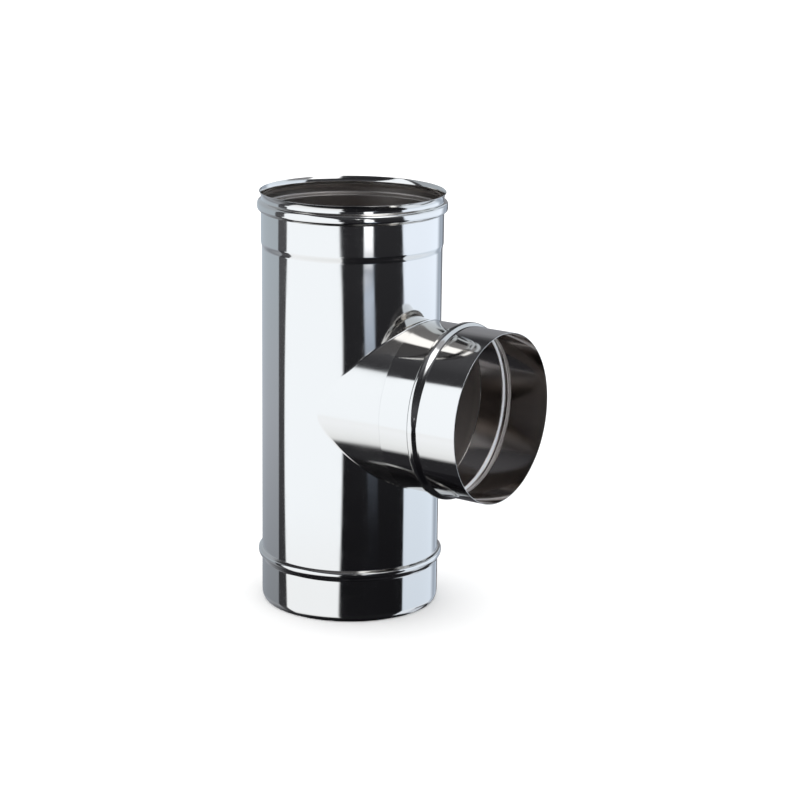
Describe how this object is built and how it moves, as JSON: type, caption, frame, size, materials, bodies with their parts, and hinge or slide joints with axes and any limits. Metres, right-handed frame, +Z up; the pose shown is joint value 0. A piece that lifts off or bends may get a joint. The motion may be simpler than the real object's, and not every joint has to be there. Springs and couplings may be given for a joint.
{
  "type": "flue pipe tee",
  "caption": "Single-wall stainless steel flue tee: an upright tube with a beaded socket on top, a plain spigot below, and a beaded branch at a right angle on its side.",
  "frame": {"origin": "centre of the bounding box on the plane of the lower edge; the tube's own axis is 35.75 mm from it, towards -X", "axes": "+Z up the tube from the spigot to the socket, +X along the branch towards its open end, +Y across"},
  "size_m": [0.2294, 0.158, 0.35],
  "materials": {
    "body_steel": "bright annealed stainless steel, mirror-like; satin on the drawn collar",
    "spigot_steel": "bright annealed stainless steel, mirror-like"
  },
  "bodies": {
    "root": {"body_tube": "body_steel", "branch_spigot": "spigot_steel"}
  },
  "joints": []
}
